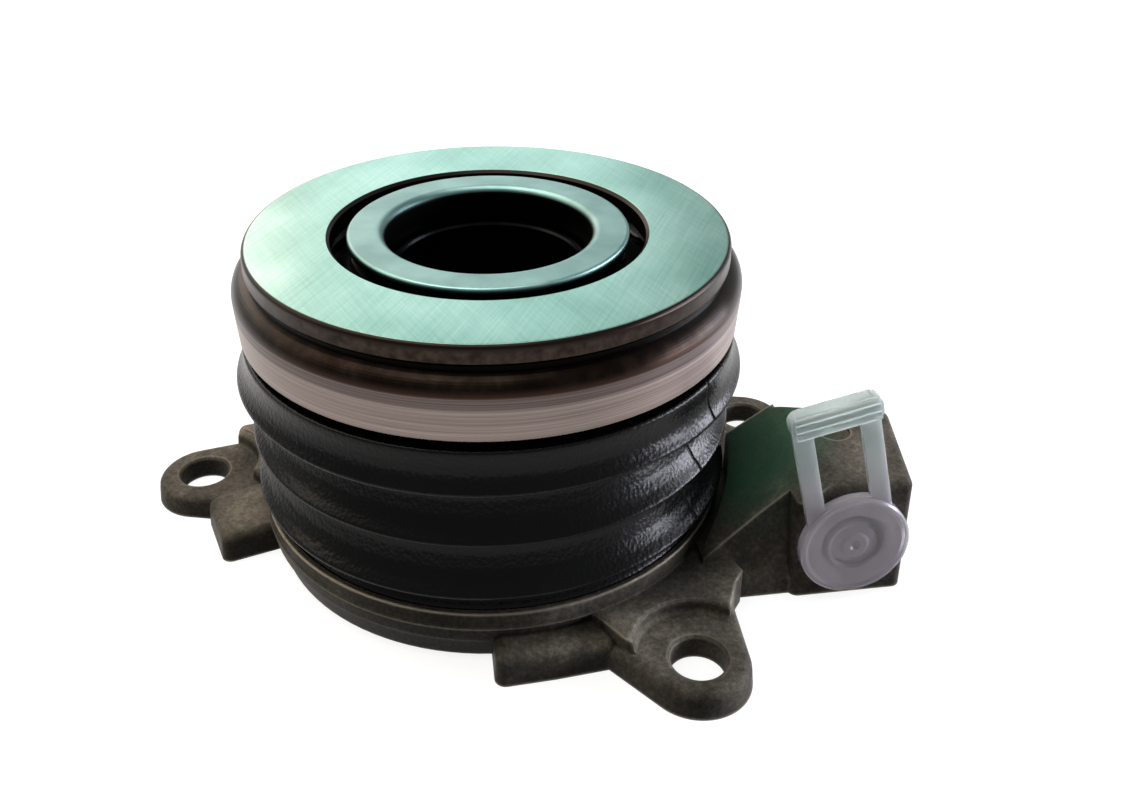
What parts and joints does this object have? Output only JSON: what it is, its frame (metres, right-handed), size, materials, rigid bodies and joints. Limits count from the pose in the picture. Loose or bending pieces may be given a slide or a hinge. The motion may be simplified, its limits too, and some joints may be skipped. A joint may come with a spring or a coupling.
{
  "type": "concentric slave cylinder",
  "caption": "Hydraulic clutch release cylinder: cast base with uneven ears and a side port, ribbed rubber bellows and a ball release bearing with a ground contact ring round the shaft.",
  "frame": {"origin": "where the shaft axis meets the mounting face", "axes": "+Z runs along the shaft from the mounting face to the clutch, the fluid port looks along -Y, +X is to the right of the port's view"},
  "size_m": [0.0998, 0.0753, 0.0426],
  "materials": {
    "cast_aluminium": "as die cast, dull and slightly stained",
    "drawn_steel": "drawn and honed",
    "seal_rubber": "moulded, matt",
    "bearing_steel": "hardened, polished",
    "blued_steel": "oil-blackened",
    "spring_steel": "drawn wire",
    "seat_plastic": "moulded",
    "boot_rubber": "moulded with a leather grain",
    "piston_plastic": "glass-filled, moulded",
    "plated_sheet": "pressed sheet",
    "collar_steel": "drawn sheet, lightly oiled",
    "cage_plastic": "moulded polyamide",
    "ground_steel": "face ground, forged edge",
    "turned_steel": "forged shoulder above a turned band",
    "plug_plastic": "soft translucent polyethylene"
  },
  "bodies": {
    "housing": {"housing": "cast_aluminium", "guide_sleeve": "drawn_steel", "sleeve_o_ring": "seal_rubber", "base_seal": "seal_rubber", "channel_ball": "bearing_steel", "stop_ring": "blued_steel", "spring_seat": "seat_plastic", "preload_spring": "spring_steel", "bellows": "boot_rubber"},
    "piston": {"piston": "piston_plastic", "piston_seal": "seal_rubber", "wiper_ring": "seal_rubber", "spring_plate": "plated_sheet", "inner_ring": "blued_steel", "bearing_seal": "seal_rubber", "centring_spring": "spring_steel", "retaining_collar": "collar_steel"},
    "ball_set": {"bearing_balls": "bearing_steel", "ball_cage": "cage_plastic"},
    "contact_ring": {"contact_ring": "ground_steel", "bearing_shell": "turned_steel"},
    "plug": {"port_plug": "plug_plastic"}
  },
  "joints": [
    {"name": "piston_slide", "type": "slide", "parent": "housing", "child": "piston", "axis": [0, 0, 1], "range_m": [-0.0075, 0], "stiffness_N_per_m": 3000, "springref_m": 0.012, "deforming": ["bellows", "preload_spring"]},
    {"name": "bearing_spin", "type": "hinge", "parent": "piston", "child": "contact_ring", "pos_m": [0, 0, 0.0359], "axis": [0, 0, 1], "continuous": true},
    {"name": "cage_spin", "type": "hinge", "parent": "piston", "child": "ball_set", "pos_m": [0, 0, 0.0359], "axis": [0, 0, 1], "continuous": true},
    {"name": "plug_pull", "type": "slide", "parent": "housing", "child": "plug", "axis": [0, -1, 0], "range_m": [0, 0.03]}
  ],
  "couplings": [
    {"joint": "cage_spin", "follows": "bearing_spin", "ratio": 0.5423}
  ]
}
